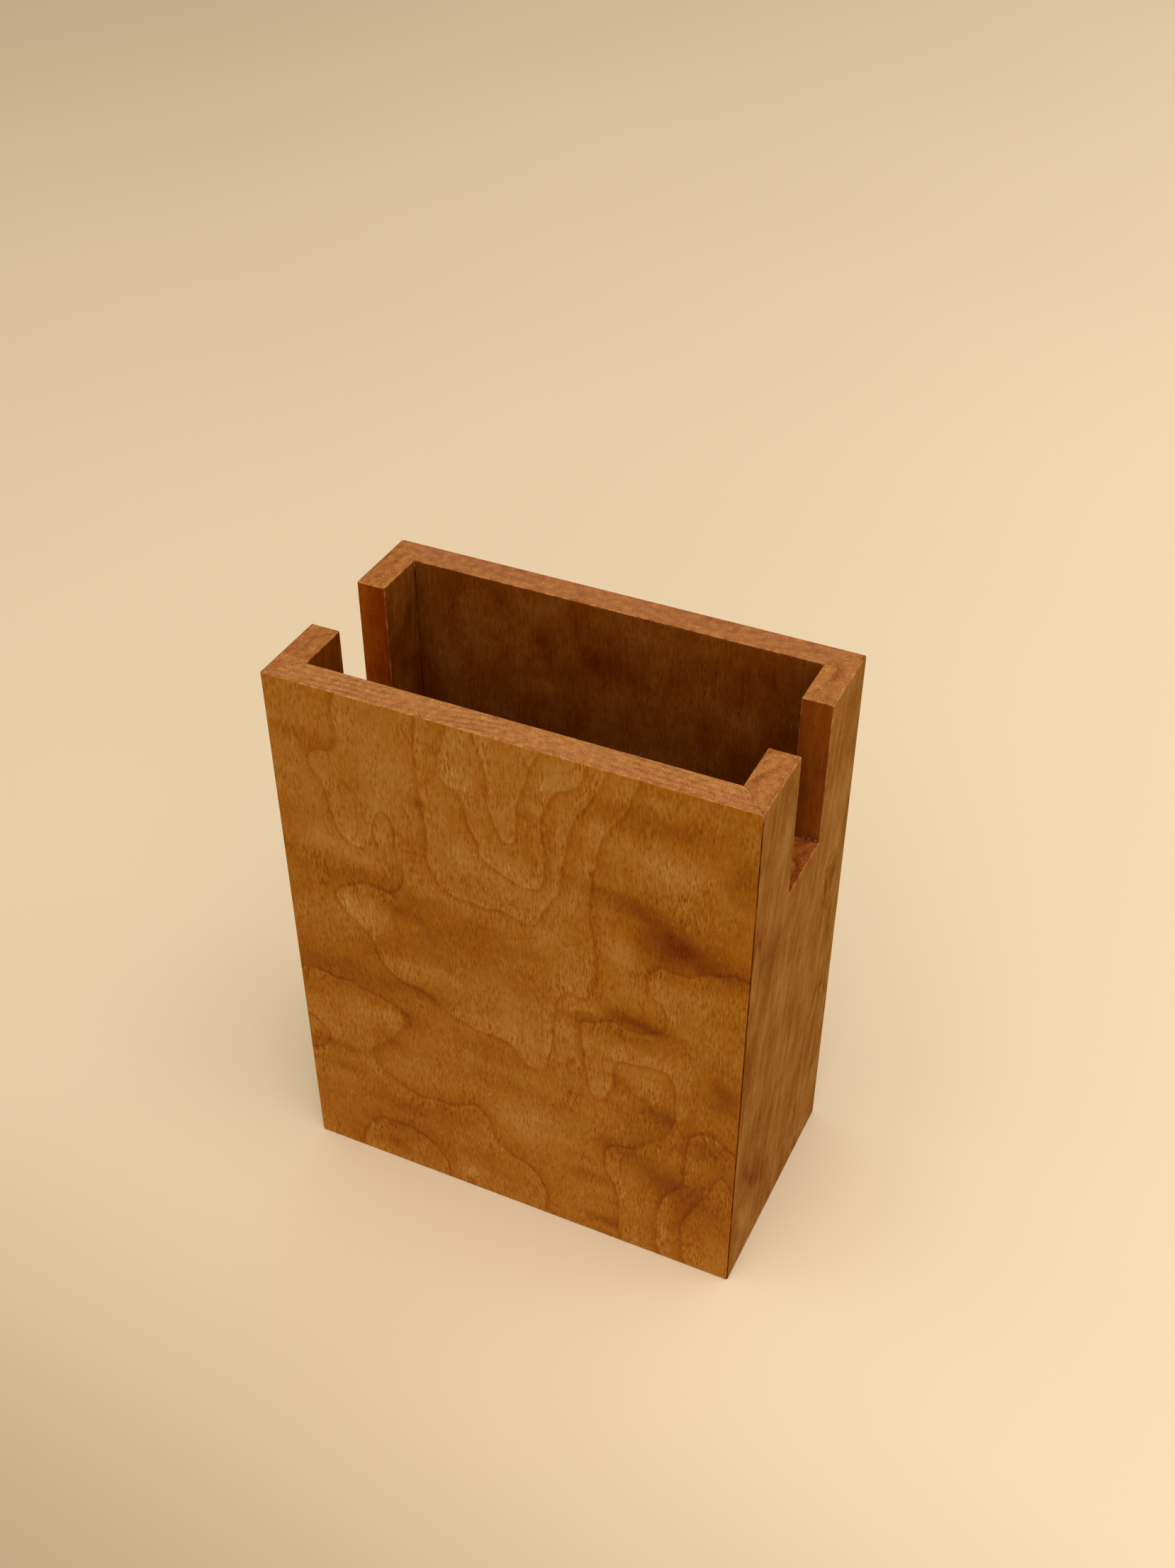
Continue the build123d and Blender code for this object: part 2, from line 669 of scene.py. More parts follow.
    def face(self, bench: NodeBench, grain: BoardGrain) -> Socket:
        """Colours the faces, along the grain.

        Args:
            bench: The bench of the material.
            grain: What is known of the place.

        Returns:
            The colour's socket.
        """
        marks = self.growth_marks(bench, grain)
        density = bench.times(bench.math("MULTIPLY_ADD", marks.early, 0.4, 0.6), grain.thicket)
        light_fleck = bench.times(bench.remap(grain.fleck, 0.48, 0.32), density)
        patch = bench.height(self.tone.build(), grain.place)
        pale = bench.remap(patch, 0.3, 0.5, 0.3, 1.0)
        pores = bench.remap(grain.fleck, *self.pore_span)
        dark_fleck = bench.times(pores, bench.times(density, pale))
        plain = 1.0 - 0.5 * self.sheen
        tone = bench.total(
            (patch, 1.0),
            # painted shading: lighter where the growth layers sink going down the board and darker
            # where they rise, as on a relief lit from above
            (bench.remap(marks.rise, -0.16, 0.16, 1.0, -1.0), 0.1),
            (bench.around(grain.mottle), 0.1 + 0.29 * self.sheen),
            (bench.around(grain.curl), 0.12),
            (bench.around(grain.blotch), 0.1),
            (bench.around(grain.speck), 0.2),
            (bench.around(grain.strand), 0.05 + 0.22 * self.sheen),
            (bench.times(bench.around(grain.strand), grain.inside), 0.3),
            (bench.times(bench.around(grain.mottle), grain.inside), 0.6),
            (bench.around(grain.ribbon), 0.04 + 0.45 * self.sheen),
            (marks.early, 0.02),
            (marks.late, -0.05),
            (marks.line, -0.13),
            (marks.half_line, -0.06),
            (light_fleck, 0.17 * plain),
            (dark_fleck, -0.25 * plain),
        )
        colour = bench.ramp(tone, self.face_colours)
        ruddy = bench.remap(grain.mottle, 0.55, 0.4)
        warmth = bench.total((marks.late, 0.25 * plain), (ruddy, 0.5 * plain))
        return bench.tint(warmth, colour, self.tints_and_shade.warm)

    def growth_marks(self, bench: NodeBench, grain: BoardGrain) -> GrowthMarks:
        """Draws the lines where years end, and the early and late wood beside them.

        Args:
            bench: The bench of the material.
            grain: What is known of the place.

        Returns:
            The marks, faint on the cheeks and the inside.
        """
        wide = self.widths
        distance, between, rise = self.growth_lines(bench, grain)
        unseen = bench.math("MAXIMUM", grain.cheek, grain.inside)
        figured = bench.math("MULTIPLY_ADD", unseen, -0.8, 1.0)
        # a half line shows most where the full lines fade
        strong = bench.times(bench.math("MULTIPLY_ADD", grain.fade, 0.5, 0.5), figured)
        weak = bench.times(bench.math("MULTIPLY_ADD", grain.fade, -0.8, 0.8), figured)
        frayed = bench.times(bench.around(grain.fleck), wide.fray)
        distance = bench.math("ADD", distance, frayed)
        behind = bench.remap(distance, -wide.behind_line, 0.0)
        ahead = bench.remap(distance, 0.0, wide.past_line, 1.0, 0.0)
        line = bench.times(bench.math("MINIMUM", ahead, behind), strong)
        between = bench.math("ABSOLUTE", bench.math("ADD", between, frayed))
        half_line = bench.times(bench.remap(between, 0.0, wide.half_line, 1.0, 0.0), weak)
        past = bench.remap(distance, 0.0, wide.step)
        early = bench.times(past, bench.remap(distance, wide.step, wide.early_wood, 1.0, 0.0))
        early = bench.times(early, figured)
        before = bench.math("SUBTRACT", 1.0, past)
        late = bench.times(before, bench.remap(distance, -wide.late_wood, 0.0))
        late = bench.times(late, figured)
        return GrowthMarks(line, half_line, early, late, rise)

    def growth_lines(self, bench: NodeBench, grain: BoardGrain) -> tuple[Socket, Socket, Socket]:
        """Cuts the growth layers with the surface, which leaves a line where a year ends.

        Args:
            bench: The bench of the material.
            grain: What is known of the place.

        Returns:
            How far the place is past the nearest line, how far it is past the middle between two
            lines, and how fast the layers rise going down the board.
        """
        tree = self.growth.build()
        here, beside, below = (
            bench.height(tree, grain.place, shift)
            for shift in ((0, 0, 0), (self.probe, 0, 0), (0, 0, self.probe))
        )
        rise = bench.math("DIVIDE", bench.math("SUBTRACT", below, here), self.probe)
        node = bench.add("ShaderNodeCombineXYZ")
        across = bench.math("DIVIDE", bench.math("SUBTRACT", beside, here), self.probe)
        for axis, part in (("X", across), ("Y", self.growth.step_inwards), ("Z", rise)):
            bench.feed(node.inputs[axis], part)
        slope = node.outputs[0]
        out_of_face = bench.vector("PROJECT", slope, grain.facing)
        in_face = bench.vector("LENGTH", bench.vector("SUBTRACT", slope, out_of_face))
        steepness = bench.math("MAXIMUM", in_face, self.flattest)
        past = bench.math("SUBTRACT", here, bench.math("ROUND", here))
        half_past = bench.around(bench.math("FRACT", here))
        return (
            bench.math("DIVIDE", past, steepness),
            bench.math("DIVIDE", half_past, steepness),
            rise,
        )

    def end_grain(self, bench: NodeBench, grain: BoardGrain) -> Socket:
        """Colours the rim and the floor of a notch, where the grain is cut across.

        Args:
            bench: The bench of the material.
            grain: What is known of the place.

        Returns:
            The colour's socket.
        """
        year = bench.height(self.rings.build(), grain.place)
        past = bench.math("SUBTRACT", year, bench.math("ROUND", year))
        line = bench.math(
            "MINIMUM", bench.remap(past, -0.4, 0.0), bench.remap(past, 0.0, 0.18, 1.0, 0.0)
        )
        line = bench.times(line, bench.math("MULTIPLY_ADD", grain.fade, 0.75, 0.25))
        down = grain.where["Z"]
        deep = bench.math(
            "MINIMUM", bench.remap(down, *BELOW_RIM), bench.remap(down, *ABOVE_FOOT, 1.0, 0.0)
        )
        tone = bench.total(
            (self.sawn_tone, 1.0),
            (bench.times(bench.around(grain.blotch), deep), 0.9),
            (bench.around(grain.mottle), 0.3),
            (bench.around(grain.blotch), 0.6),
            (bench.around(grain.speck), 0.7),
            (line, -self.ring_depth),
            # painted glints: rare bright specks on the end grain, lifted towards its palest colour
            (bench.remap(grain.speck, 0.74, 0.82), 0.5),
        )
        colour = bench.ramp(tone, self.end_colours)
        pink = bench.total(
            (self.blush, 1.0),
            (bench.around(grain.mottle), 1.5),
            (bench.remap(grain.where["Y"], 0.5, 5.0, 0.35, -0.35), 1.0),
            (past, -0.6),
        )
        colour = bench.tint(pink, colour, self.tints_and_shade.pink_end)
        colour = bench.tint(deep, colour, self.tints_and_shade.notch_floor)
        # painted shade: darker where the notch floor meets its cheeks
        half_notch = NOTCH_WIDTH / 2
        off_middle = bench.math("SUBTRACT", grain.where["X"], self.side.length / 2)
        off_middle = bench.math("ABSOLUTE", off_middle)
        corner = bench.remap(off_middle, half_notch - self.tints_and_shade.corner_shade_width, half_notch)
        return bench.tint(bench.times(deep, corner), colour, self.tints_and_shade.notch_corner_shade)

    def paint_inside_shade(self, bench: NodeBench, grain: BoardGrain, colour: Socket) -> Socket:
        """Paints shade into the colour: darker inside the box, more so low inside it, and darker
        on the cheeks of the notches, more so inwards.

        Args:
            bench: The bench of the material.
            grain: What is known of the place.
            colour: The colour so far.

        Returns:
            The darker colour's socket.
        """
        tints_and_shade = self.tints_and_shade
        # painted shade: the whole inside of the box darker, and darker again low inside it
        colour = bench.tint(grain.inside, colour, tints_and_shade.inside)
        low_shade_mask = bench.times(grain.inside, bench.remap(grain.where["Z"], *tints_and_shade.low_shade_span))
        colour = bench.tint(low_shade_mask, colour, tints_and_shade.lower_inside_shade)
        # painted shade: the cheeks of the notches darker, and darker again inwards
        colour = bench.tint(grain.cheek, colour, tints_and_shade.cheek)
        inward_shade_mask = bench.times(grain.cheek, bench.remap(grain.where["Y"], *tints_and_shade.inner_shade_span))
        return bench.tint(inward_shade_mask, colour, tints_and_shade.inner_cheek_shade)

    def arris(self, bench: NodeBench, grain: BoardGrain) -> Socket:
        """Finds the paler edges: partly sanded wood, where the finish is worn thin, and partly a
        painted highlight where a rounded edge catches the light.

        Args:
            bench: The bench of the material.
            grain: What is known of the place.

        Returns:
            How much of the paler edge colour shows, 0 away from an edge, full along the rim and
            weaker further down.
        """
        largest: Number = 0.0
        for axis in "XYZ":
            largest = bench.math("MAXIMUM", largest, bench.math("ABSOLUTE", grain.turned[axis]))
        edge = bench.remap(largest, 0.74, 0.96, 1.0, 0.0)
        rubbed_and_lit = bench.times(edge, bench.remap(grain.blotch, 0.42, 0.62, 0.05, 0.45))
        return bench.times(rubbed_and_lit, bench.remap(grain.where["Z"], *BELOW_RIM, 1.0, 0.6))


@dataclass(frozen=True)
class PlainHardwood:
    """The straight-grained hardwood of the bottom board, with its grain along the box."""

    name: str = "plain_hardwood_oiled"
    mottle_size: Place = (26.0, 5.0, 5.0)
    streak_size: Place = (18.0, 0.5, 0.5)
    fleck_size: Place = (2.2, 0.3, 0.3)
    gloss: float = 0.3
    colours: ColourStops = (
        (0.0, (74, 32, 8)),
        (0.35, (118, 62, 20)),
        (0.65, (146, 86, 34)),
        (1.0, (176, 116, 58)),
    )

    def build(self) -> bpy.types.Material:
        """Makes the material.

        Returns:
            The material for the bottom board.
        """
        material, bench, shader = new_material(self.name)
        place = bench.millimetres()
        mottle = bench.noise(place, self.mottle_size, detail=3.0)
        streak = bench.noise(place, self.streak_size)
        fleck = bench.noise(place, self.fleck_size, detail=1.0)
        tone = bench.total(
            (0.42, 1.0),
            (bench.around(mottle), 0.5),
            (bench.around(streak), 0.35),
            (bench.remap(fleck, 0.6, 0.72), -0.15),
        )
        bench.feed(shader.inputs["Base Color"], bench.ramp(tone, self.colours))
        bench.feed(shader.inputs["Roughness"], bench.remap(mottle, 0.3, 0.7, 0.5, 0.62))
        shader.inputs["Specular IOR Level"].default_value = self.gloss
        bench.feed(shader.inputs["Normal"], bench.bump(streak, 0.2))
        return material


@dataclass(frozen=True)
class CuredGlue:
    """The thin brown line of old glue in a mitre, sanded pale along the rim."""

    name: str = "cured_glue_line"
    clot_size: Place = (0.8, 0.8, 3.0)
    sanded_below_rim: Span = (2.2, 0.8)
    gloss: float = 0.0
    colours: ColourStops = ((0.3, (64, 25, 2)), (0.55, (92, 41, 4)), (0.75, (122, 66, 20)))
    sanded_colours: ColourStops = (
        (0.34, (116, 67, 30)),
        (0.48, (154, 98, 50)),
        (0.62, (176, 118, 64)),
    )

    def build(self) -> bpy.types.Material:
        """Makes the material.

        Returns:
            The material for the glue lines.
        """
        material, bench, shader = new_material(self.name)
        place = bench.millimetres()
        clot = bench.noise(place, self.clot_size)
        low, high = (BOX_HEIGHT - depth for depth in self.sanded_below_rim)
        rim = bench.remap(bench.split(place)["Z"], low, high)
        dark = bench.ramp(clot, self.colours)
        sanded = bench.ramp(clot, self.sanded_colours)
        bench.feed(shader.inputs["Base Color"], bench.mix(rim, dark, sanded))
        bench.feed(shader.inputs["Roughness"], bench.remap(clot, 0.3, 0.7, 0.55, 0.8))
        shader.inputs["Specular IOR Level"].default_value = self.gloss
        bench.feed(shader.inputs["Normal"], bench.bump(clot, 0.3))
        return material


@dataclass(frozen=True)
class DriedFinish:
    """Finish that ran together and dried in drops, brown with a soft gloss."""

    name: str = "dried_finish"
    cloud_size: Place = (0.5, 0.3, 0.3)
    gloss: float = 0.3
    colours: ColourStops = ((0.3, (86, 38, 16)), (0.55, (124, 66, 36)), (0.75, (160, 100, 68)))

    def build(self) -> bpy.types.Material:
        """Makes the material.

        Returns:
            The material for the drops.
        """
        material, bench, shader = new_material(self.name)
        cloud = bench.noise(bench.millimetres(), self.cloud_size)
        bench.feed(shader.inputs["Base Color"], bench.ramp(cloud, self.colours))
        bench.feed(shader.inputs["Roughness"], bench.remap(cloud, 0.3, 0.7, 0.25, 0.45))
        shader.inputs["Specular IOR Level"].default_value = self.gloss
        return material


@dataclass(frozen=True)
class PaleTable:
    """The plain table top, with painted shade that darkens it towards its front and towards its
    left. Sizes in metres.
    """

    name: str = "pale_table"
    cloud_size: Place = (0.5, 0.5, 0.5)
    # where the painted shade towards the front begins and ends
    front_shade_span: Span = (-0.2, -0.03)
    roughness: float = 0.8
    gloss: float = 0.1
    colours: ColourStops = (
        (0.14, (170, 147, 114)),
        (0.35, (190, 166, 131)),
        (0.735, (226, 203, 167)),
    )

    def build(self) -> bpy.types.Material:
        """Makes the material.

        Returns:
            The material for the table top.
        """
        material, bench, shader = new_material(self.name)
        place = bench.add("ShaderNodeTexCoord").outputs["Object"]
        cloud = bench.noise(place, self.cloud_size)
        where = bench.split(place)
        front = bench.remap(where["Y"], *self.front_shade_span)
        # painted shade: darker towards the front of the table and towards its left
        tone = bench.total((cloud, 0.14), (front, 0.63), (where["X"], 0.4))
        bench.feed(shader.inputs["Base Color"], bench.ramp(tone, self.colours))
        shader.inputs["Roughness"].default_value = self.roughness
        shader.inputs["Specular IOR Level"].default_value = self.gloss
        return material


# How far the grain ruffles the growth layers and the tone of a board, and how long its waves are
GROWTH_RUFFLE = (3.0, 0.0, 3.5)
GROWTH_WAVE = (6.0, 6.0, 9.0)
TONE_RUFFLE = (6.0, 0.0, 5.0)
TONE_WAVE = (7.0, 7.0, 7.0)

# So tall that the rings of an end are the same from the rim to the foot
FULL_HEIGHT = 400.0

# The front board: its growth layers
FRONT_GROWTH = Relief(
    name="front_growth",
    level=-0.35,
    ruffle=GROWTH_RUFFLE,
    wave=GROWTH_WAVE,
    step_inwards=-1 / 1.8,
    swirls=(
        # tall fold under the middle of the rim
        Swirl(51, -6, 13, 30, 4.3),
        Swirl(50.5, 27, 10, 12, 1.7),
        Swirl(49.5, 15, 5, 8, 0.4),
        Swirl(57, 30, 4, 9, 0.7),
        Swirl(64, 25, 4, 16, 0.25),
        Swirl(66, -3, 6, 13, 1.8),
        Swirl(36.5, 12, 5.5, 16, 1.1),
        Swirl(36.5, 31, 4.5, 13, 0.8),
        Swirl(42, 40, 7, 5, 0.6),
        Swirl(55, 41, 5, 4, 0.5),
        Swirl(31, 37, 5, 9, 0.5),
        # light ground to its left, with a bay below
        Swirl(24, 6, 9.5, 22, 0.85),
        Swirl(17, 28, 5, 9, 0.85),
        Swirl(10, 18, 4, 5, 0.5),
        # small rise under the rim at the right
        Swirl(75, 1, 5, 9, 0.6),
        # light ground below the fold
        Swirl(45, 57, 20, 14, 0.9),
        Swirl(21, 51, 11, 6, 0.65),
        Swirl(56, 73, 4.5, 10, 0.8),
        Swirl(45, 70, 10, 8, 0.4),
        Swirl(27, 62, 7, 7, 0.5),
        Swirl(66, 46, 4, 12, 0.4),
        # hollow along the left edge with a finger under the bay
        Swirl(2, 28, 8, 12, -0.4),
        Swirl(12, 40, 13, 4, -0.55),
        Swirl(23.8, 34, 2, 7, -0.9),
        # hollow to the right of the fold, with a wedge below it
        Swirl(86, 20, 11, 24, -0.6),
        Swirl(77, 56, 6, 4.5, -0.5),
        Swirl(66.5, 61, 4, 2.5, -0.7),
        # light ground to the right of the middle, with a pocket hanging from it
        Swirl(97, 58, 14, 15, 1.1),
        Swirl(83, 46, 4, 5, 0.6),
        Swirl(90, 46, 5, 5, 0.3),
        Swirl(98, 42, 9, 5, 0.35),
        Swirl(94, 80, 6, 10, 0.5),
        Swirl(70, 75, 3.6, 10, 0.95),
        Swirl(76, 66, 8, 4.5, 0.9),
        Swirl(91, 91, 3, 8, 0.4),
        # hollows beside the pocket
        Swirl(63, 75, 3, 15, -0.8),
        Swirl(81, 82, 6, 10, -0.85),
        Swirl(50, 88, 16, 4, -0.25),
        # light ground low on the left, down to the foot
        Swirl(6, 82, 20, 8, 0.8),
        Swirl(3, 98, 16, 13, 0.6),
        Swirl(0, 120, 9, 12, 0.4),
        Swirl(24, 119, 22, 13, 0.7),
        Swirl(34, 107, 8, 4.5, 0.3),
        Swirl(41, 103, 4, 5, 0.4),
        Swirl(49, 123, 10, 11, 0.65),
        Swirl(0, 94, 5, 5, -0.9),
        Swirl(38.5, 126, 3, 5, -0.7),
        # arch at the foot
        Swirl(22, 130, 15, 17, 1.6),
        # steep ground low on the right
        Swirl(98, 118, 15.5, 30, 3.2),
        Swirl(74, 102, 4, 6, 0.4),
        Swirl(84, 93, 4, 4, 0.35),
        Swirl(88, 99, 4, 8, -0.4),
        Swirl(98, 96, 3, 9, 0.5),
    ),
)

# The front board: smoky dark patches and light ground
FRONT_TONE = Relief(
    name="front_tone",
    level=0.52,
    ruffle=TONE_RUFFLE,
    wave=TONE_WAVE,
    swirls=(
        # the dark eye right of the fold, with its arm and its tail
        Swirl(84, 34.5, 6, 4.5, -0.3),
        Swirl(88, 36.8, 6, 3.2, -0.26),
        Swirl(77, 30, 6, 2.5, -0.24),
        Swirl(70, 28, 4, 1.5, -0.14),
        Swirl(96, 39.4, 5, 1.6, -0.14),
        # grey band under the rim at the right
        Swirl(72, 9.5, 8, 3, -0.14),
        Swirl(84, 9.5, 9, 3, -0.15),
        Swirl(98, 16, 4, 5, -0.15),
        # streak along the underside of the step
        Swirl(77, 59, 5, 1.6, -0.22),
        Swirl(83, 59.5, 4, 1.5, -0.16),
        # shade on the hill below the fold
        Swirl(42, 47, 15, 5, -0.08),
        Swirl(35, 55, 9, 5, -0.08),
        # faint edge of that hill, and the thumb-shaped arch at its left end
        Swirl(25.0, 54.5, 0.9, 3.5, -0.12),
        Swirl(26.8, 49.6, 1.8, 1.2, -0.12),
        Swirl(31.0, 50.2, 1.8, 1.0, -0.12),
        Swirl(32.3, 53.5, 0.8, 2.4, -0.1),
        Swirl(30.5, 45.4, 3.0, 1.2, -0.08),
        # light along the foot of that hill, and along the hollow on the left
        Swirl(27.0, 64.5, 3.5, 2.0, 0.11),
        Swirl(35.0, 63.5, 5.0, 1.2, 0.09),
        Swirl(14, 39, 10, 3.5, 0.06),
        # shade under the left end of the rim
        Swirl(6, 12, 7, 2, -0.09),
        # bands low on the left
        Swirl(9, 70.5, 10, 3, -0.15),
        Swirl(24, 71, 9, 3, -0.13),
        Swirl(33, 71, 6, 2, -0.12),
        Swirl(22, 62, 8, 4, -0.1),
        Swirl(47, 82, 10, 4, -0.1),
        Swirl(26, 80, 2.5, 3.5, -0.14),
        Swirl(20, 88.5, 4, 3, -0.18),
        Swirl(8, 95.5, 6, 1.5, -0.16),
        Swirl(9, 102, 6, 1.5, -0.16),
        Swirl(24, 108, 9, 2.5, -0.12),
        Swirl(36, 106, 6, 3, -0.12),
        Swirl(22, 116, 11, 2, -0.12),
        Swirl(20, 122, 3.5, 1.5, -0.16),
        Swirl(8, 121, 5, 3, -0.08),
        # knots and smudges on the right
        Swirl(97, 70.5, 4, 5, -0.28),
        Swirl(83, 83, 4.5, 3.5, -0.22),
        Swirl(77, 79, 3, 1.5, -0.14),
        Swirl(94, 89, 4.5, 3.5, -0.2),
        Swirl(77, 98, 6, 3, -0.18),
        Swirl(86, 102, 8, 5, -0.18),
        Swirl(95, 108, 6, 4, -0.14),
        Swirl(90, 114, 4, 6, -0.1),
        Swirl(67, 109.5, 5, 1.5, -0.16),
        Swirl(72, 122, 4, 1.6, -0.22),
        # pin knots
        Swirl(8.5, 48, 0.9, 1.0, -0.25),
        Swirl(32.5, 20, 1.8, 1.2, -0.2),
        # light ground
        Swirl(16, 52, 7, 5, 0.13),
        Swirl(63, 46, 5, 9, 0.06),
        Swirl(74, 42, 4, 5, 0.15),
        Swirl(83, 18, 11, 3.5, 0.12),
        Swirl(54, 70, 7, 8, 0.1),
        Swirl(18, 82, 8, 3.5, 0.14),
        Swirl(54, 100, 8, 7, 0.1),
        Swirl(23, 97, 5, 5, 0.1),
        Swirl(50, 8, 20, 10, 0.02),
        Swirl(22, 12, 34, 24, 0.08),
        Swirl(40, 106, 34, 18, 0.04),
        Swirl(92, 52, 6, 6, 0.08),
        Swirl(70, 73, 3, 8, 0.05),
    ),
)

# The front board: the rings on its ends
FRONT_RINGS = Relief(
    name="front_rings",
    level=0.3,
    ruffle=(0.0, 1.6, 0.0),
    wave=(10.0, 5.0, 10.0),
    step_inwards=1 / 1.5,
    swirls=(Swirl(50, 0, 40, FULL_HEIGHT, -1.6), Swirl(53.5, 0, 13, FULL_HEIGHT, -1.9)),
)

# The right board: a drop-shaped loop near the back, a tall arch below it, leaning streaks all over
RIGHT_GROWTH = Relief(
    name="right_growth",
    level=0.5,
    ruffle=(4.5, 0.0, 5.0),
    wave=GROWTH_WAVE,
    step_inwards=-1 / 2.8,
    swirls=(
        Swirl(44.5, 45.5, 3.8, 5, -0.8),
        Swirl(45.5, 54, 2.8, 10, -0.75),
        Swirl(46, 106, 11, 36, 0.85),
        Swirl(2, 40, 5, 30, 0.55),
    ),
)

RIGHT_TONE = Relief(
    name="right_tone",
    level=0.5,
    ruffle=TONE_RUFFLE,
    wave=(5.0, 5.0, 7.0),
    swirls=(
        Swirl(6.4, 12, 6, 4, -0.08),
        Swirl(11, 40, 3.5, 7, -0.14, turn=-20),
        Swirl(6, 56, 2.5, 6, -0.12, turn=-25),
        Swirl(3, 66, 4, 7, -0.13),
        Swirl(20, 94, 3, 3, -0.1),
        Swirl(10, 88, 5, 4, -0.08),
        Swirl(9, 101, 3, 8, -0.2, turn=35),
        Swirl(15, 107, 2.5, 7, -0.18, turn=35),
        Swirl(30, 78, 8, 10, -0.05),
        Swirl(13, 22, 3, 10, 0.1),
        Swirl(16, 58, 5, 8, 0.08),
        Swirl(5.5, 112, 2.5, 5, 0.16, turn=35),
        Swirl(12, 103, 1.6, 6, 0.14, turn=35),
        Swirl(44, 26, 8, 16, 0.06),
        Swirl(46, 74, 6, 10, 0.06),
    ),
)

RIGHT_RINGS = Relief(
    name="right_rings",
    level=-0.1,
    ruffle=(0.0, 1.8, 0.0),
    wave=(6.0, 4.0, 8.0),
    step_inwards=1 / 5.0,
    swirls=(Swirl(21, 0, 8, FULL_HEIGHT, 1.25), Swirl(44.5, 0, 6, FULL_HEIGHT, 0.5)),
)

# The back board, which is guessed: flat-sawn, with nested arches that rise from the foot
BACK_GROWTH = Relief(
    name="back_growth",
    level=-0.2,
    ruffle=GROWTH_RUFFLE,
    wave=GROWTH_WAVE,
    step_inwards=-1 / 2.8,
    swirls=(
        Swirl(42, 150, 30, 92, 5.6),
        Swirl(36, 74, 9, 18, 0.5),
        Swirl(58, 96, 8, 16, 0.35),
        Swirl(12, 36, 12, 30, 0.6),
        Swirl(4, 88, 8, 26, -0.7),
        Swirl(78, 30, 12, 34, 0.9),
        Swirl(92, 70, 9, 30, -0.8),
        Swirl(50, 4, 14, 16, -0.5),
        Swirl(98, 112, 9, 20, 0.7),
    ),
)

BACK_TONE = Relief(
    name="back_tone",
    level=0.52,
    ruffle=TONE_RUFFLE,
    wave=TONE_WAVE,
    swirls=(
        Swirl(26, 56, 10, 4, -0.24, turn=15),
        Swirl(14, 62, 6, 2.5, -0.16),
        Swirl(80, 92, 10, 4, -0.22),
        Swirl(90, 97, 6, 3, -0.18),
        Swirl(52, 14, 12, 4, -0.16),
        Swirl(64, 19, 8, 2.5, -0.14),
        Swirl(8, 100, 6, 8, -0.12),
        Swirl(90, 42, 7, 4, -0.22),
        Swirl(80, 38, 6, 2.5, -0.14),
        Swirl(60, 110, 14, 3, -0.14),
        Swirl(44, 76, 7, 2.5, -0.12),
        Swirl(70, 58, 9, 2.5, -0.12),
        Swirl(20, 24, 8, 3, -0.12),
        Swirl(40, 34, 12, 8, 0.12),
        Swirl(72, 70, 9, 7, 0.12),
        Swirl(24, 100, 8, 7, 0.1),
        Swirl(84, 20, 9, 5, 0.12),
        Swirl(48, 94, 7, 6, 0.1),
    ),
)

BACK_RINGS = Relief(
    name="back_rings",
    level=0.1,
    ruffle=(0.0, 1.6, 0.0),
    wave=(8.0, 5.0, 8.0),
    step_inwards=1 / 2.8,
    swirls=(Swirl(30, 0, 14, FULL_HEIGHT, -2.6), Swirl(78, 0, 22, FULL_HEIGHT, 1.6)),
)

# The left board, which is guessed: calmer, with long narrow arches
LEFT_GROWTH = Relief(
    name="left_growth",
    level=0.2,
    ruffle=GROWTH_RUFFLE,
    wave=GROWTH_WAVE,
    step_inwards=-1 / 2.8,
    swirls=(
        Swirl(24, 150, 14, 110, 4.6),
        Swirl(6, 44, 8, 30, 0.7),
        Swirl(55, 60, 9, 44, -0.9),
        Swirl(16, 72, 5, 14, 0.3),
        Swirl(42, 16, 8, 18, 0.5),
        Swirl(5, 108, 7, 20, -0.5),
    ),
)

LEFT_TONE = Relief(
    name="left_tone",
    level=0.52,
    ruffle=TONE_RUFFLE,
    wave=TONE_WAVE,
    swirls=(
        Swirl(17, 74, 6, 3, -0.18, turn=20),
        Swirl(46, 62, 5, 6, -0.16),
        Swirl(10, 22, 6, 3, -0.12),
        Swirl(38, 108, 8, 3, -0.14),
        Swirl(12, 50, 6, 3, -0.1),
        Swirl(30, 52, 9, 6, 0.1),
        Swirl(12, 104, 8, 6, 0.1),
    ),
)

LEFT_RINGS = Relief(
    name="left_rings",
    level=0.3,
    ruffle=(0.0, 1.4, 0.0),
    wave=(8.0, 5.0, 8.0),
    step_inwards=1 / 2.6,
    swirls=(Swirl(26, 0, 20, FULL_HEIGHT, 0.9),),
)


def dress_node(node: str, material: bpy.types.Material) -> bpy.types.Object:
    """Gives a CAD node one material.

    Args:
        node: The node's name.
        material: Its finish.

    Returns:
        The node's object.
    """
    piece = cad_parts[node]
    piece.data.materials.clear()
    piece.data.materials.append(material)
    return piece


@dataclass(frozen=True)
class Wall:
    """One mitred board of the ring, which stays as the CAD made it and gets its finish here."""

    node: str
    finish: FiguredHardwood

    def dress(self) -> bpy.types.Object:
        """Puts the finish on the board and returns it."""
        return dress_node(self.node, self.finish.build())


